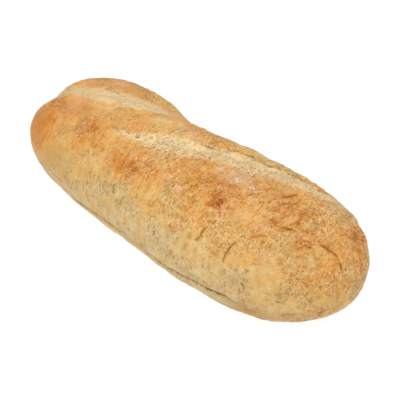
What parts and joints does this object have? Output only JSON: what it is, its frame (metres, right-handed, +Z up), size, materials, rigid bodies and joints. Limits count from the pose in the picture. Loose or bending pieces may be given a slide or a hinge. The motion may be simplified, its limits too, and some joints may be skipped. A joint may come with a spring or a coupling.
{
  "type": "whole wheat baguette",
  "caption": "Short, stubby whole wheat baguette with a rounded crown, slanting blade openings, blunt round ends and a flat base.",
  "frame": {"origin": "on the tray plane under the middle of the loaf's outline", "axes": "+X along the loaf towards its near, rounder end, +Z up from the flat base to the crown"},
  "size_m": [0.2306, 0.087, 0.0584],
  "materials": {
    "crust": "satin baked crust, golden brown on the crown, pale tan on the flanks, cream in the openings"
  },
  "bodies": {
    "root": {"baguette": "crust"}
  },
  "joints": []
}
